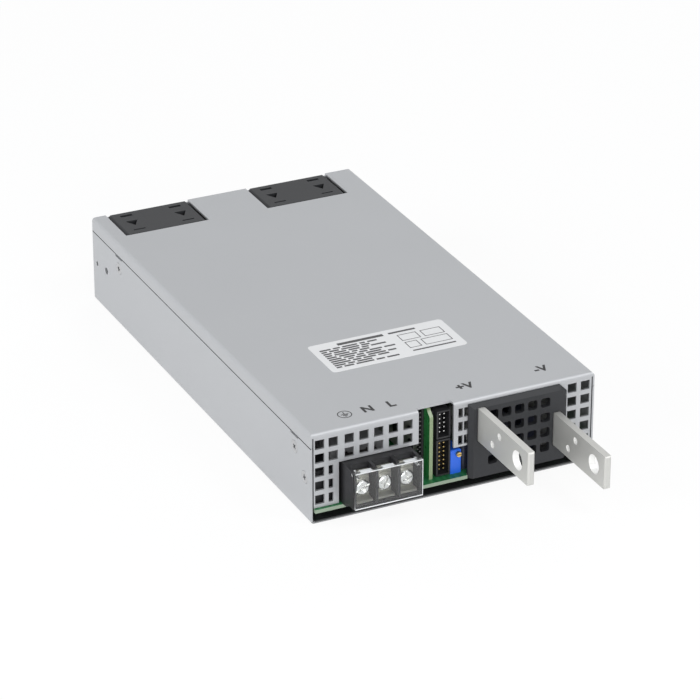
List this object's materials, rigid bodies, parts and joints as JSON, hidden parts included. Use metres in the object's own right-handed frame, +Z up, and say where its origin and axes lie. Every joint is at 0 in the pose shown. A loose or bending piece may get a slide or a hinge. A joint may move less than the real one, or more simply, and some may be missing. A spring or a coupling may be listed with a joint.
{
  "type": "ac-dc power supply",
  "caption": "Flat enclosed AC-DC power supply with a folded metal case, mains screw terminals under a clear flip cover, flat output bars at the front and fans at the rear.",
  "frame": {"origin": "middle of the case's underside", "axes": "+X to the right seen from the front, -Y towards the terminals and output bars, +Z up"},
  "size_m": [0.131, 0.282, 0.0411],
  "materials": {
    "case_metal": "satin zinc-plated sheet",
    "screw_steel": "plated",
    "plated_metal": "nickel-plated",
    "tinned_bar": "tinned, satin",
    "gold": "gold-plated",
    "dark_plastic": "moulded, matte",
    "black_plastic": "moulded, matte",
    "blue_plastic": "moulded",
    "yellow_plastic": "moulded or taped",
    "clear_plastic": "clear moulded polycarbonate",
    "black_film": "smooth film",
    "circuit_board": "green solder mask",
    "label_paper": "white, satin",
    "copper_winding": "enamelled copper wire",
    "heatsink": "extruded",
    "capacitor_can": "sleeved can",
    "ferrite": "dull ferrite"
  },
  "bodies": {
    "case": {"chassis": "case_metal", "top_cover": "case_metal", "insulation_sheet": "black_film", "main_board": "circuit_board", "board_standoffs": "screw_steel", "terminal_block": "black_plastic", "terminal_plates": "plated_metal", "control_board": "circuit_board", "signal_header": "black_plastic", "signal_pins": "plated_metal", "option_header": "black_plastic", "option_pins": "gold", "trimmer": "blue_plastic", "positive_bar": "tinned_bar", "negative_bar": "tinned_bar", "bar_insulator": "dark_plastic", "left_fan_frame": "dark_plastic", "right_fan_frame": "dark_plastic", "blank_label": "label_paper", "mains_fuse": "black_plastic", "mains_choke_core": "ferrite", "mains_choke_winding": "copper_winding", "filter_capacitors": "yellow_plastic", "inrush_relay": "black_plastic", "primary_heatsink": "heatsink", "bridge_rectifier": "black_plastic", "power_transistors": "black_plastic", "boost_choke_core": "ferrite", "boost_choke_winding": "copper_winding", "bulk_capacitors": "capacitor_can", "transformer_core": "ferrite", "transformer_winding": "yellow_plastic", "standby_transformer": "yellow_plastic", "output_choke": "ferrite", "output_heatsink": "heatsink", "output_rectifiers": "black_plastic", "output_capacitors": "capacitor_can"},
    "left_fan": {"left_fan_rotor": "black_plastic"},
    "right_fan": {"right_fan_rotor": "black_plastic"},
    "flip_cover": {"terminal_cover": "clear_plastic"},
    "earth_screw": {"earth_terminal_screw": "plated_metal"},
    "neutral_screw": {"neutral_terminal_screw": "plated_metal"},
    "live_screw": {"live_terminal_screw": "plated_metal"},
    "adjuster": {"trimmer_screw": "gold"}
  },
  "joints": [
    {"name": "left_fan_spin", "type": "hinge", "parent": "case", "child": "left_fan", "pos_m": [-0.0384, 0.10525, 0.021], "axis": [0, 1, 0], "continuous": true},
    {"name": "right_fan_spin", "type": "hinge", "parent": "case", "child": "right_fan", "pos_m": [0.0318, 0.10525, 0.021], "axis": [0, 1, 0], "continuous": true},
    {"name": "flip_cover_hinge", "type": "hinge", "parent": "case", "child": "flip_cover", "pos_m": [-0.0359, -0.1272, 0.024], "axis": [-1, 0, 0], "range_deg": [0, 90]},
    {"name": "earth_screw_turn", "type": "hinge", "parent": "case", "child": "earth_screw", "pos_m": [-0.0459, -0.124, 0.0163], "axis": [0, 1, 0], "continuous": true},
    {"name": "neutral_screw_turn", "type": "hinge", "parent": "case", "child": "neutral_screw", "pos_m": [-0.0359, -0.124, 0.0163], "axis": [0, 1, 0], "continuous": true},
    {"name": "live_screw_turn", "type": "hinge", "parent": "case", "child": "live_screw", "pos_m": [-0.0259, -0.124, 0.0163], "axis": [0, 1, 0], "continuous": true},
    {"name": "adjuster_turn", "type": "hinge", "parent": "case", "child": "adjuster", "pos_m": [0.0029, -0.1156, 0.0159], "axis": [0, 1, 0], "continuous": true}
  ]
}
